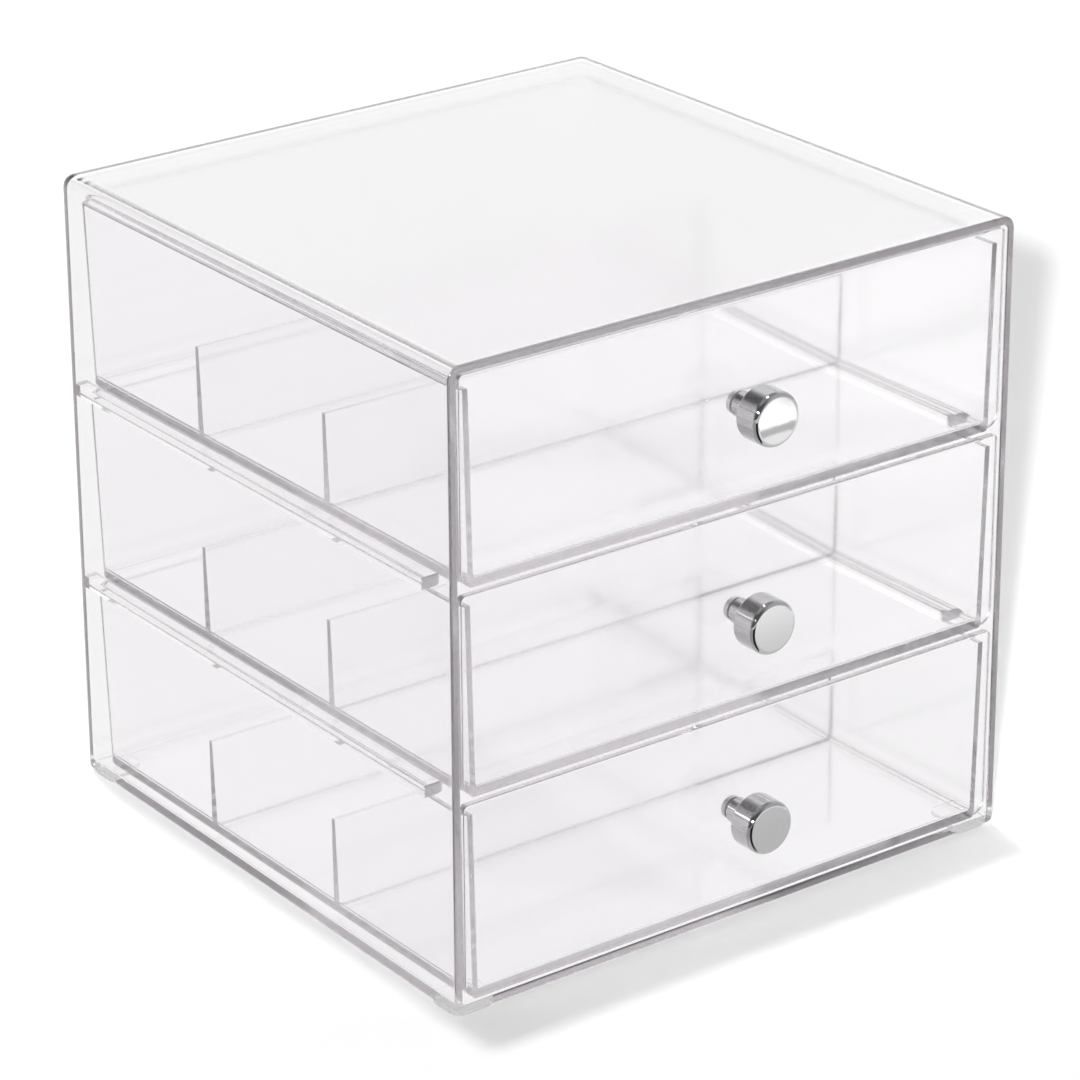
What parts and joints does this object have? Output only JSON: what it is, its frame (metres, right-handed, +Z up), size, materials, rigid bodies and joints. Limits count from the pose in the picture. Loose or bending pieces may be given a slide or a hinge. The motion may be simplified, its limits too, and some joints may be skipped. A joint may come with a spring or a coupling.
{
  "type": "stackable eyeglass drawer organizer",
  "caption": "Clear stackable cabinet with pull-out drawers that hold glasses in divided compartments, each drawer with a round chrome knob.",
  "frame": {"origin": "middle of the whole object's outline, knobs included, on the surface that the feet stand on", "axes": "+Z up, the drawers open towards -Y, +X to the right as seen from the front"},
  "size_m": [0.178, 0.191, 0.173],
  "materials": {
    "shell_plastic": "clear, polished",
    "drawer_plastic": "clear, polished",
    "knob_chrome": "polished",
    "screw_steel": "plain"
  },
  "bodies": {
    "cabinet": {"cabinet_shell": "shell_plastic"},
    "drawer_bottom_body": {"drawer_bottom": "drawer_plastic", "knob_bottom": "knob_chrome", "knob_screw_bottom": "screw_steel"},
    "drawer_middle_body": {"drawer_middle": "drawer_plastic", "knob_middle": "knob_chrome", "knob_screw_middle": "screw_steel"},
    "drawer_top_body": {"drawer_top": "drawer_plastic", "knob_top": "knob_chrome", "knob_screw_top": "screw_steel"}
  },
  "joints": [
    {"name": "drawer_bottom_slide", "type": "slide", "parent": "cabinet", "child": "drawer_bottom_body", "axis": [0, -1, 0], "range_m": [0, 0.13]},
    {"name": "drawer_middle_slide", "type": "slide", "parent": "cabinet", "child": "drawer_middle_body", "axis": [0, -1, 0], "range_m": [0, 0.13]},
    {"name": "drawer_top_slide", "type": "slide", "parent": "cabinet", "child": "drawer_top_body", "axis": [0, -1, 0], "range_m": [0, 0.13]}
  ]
}
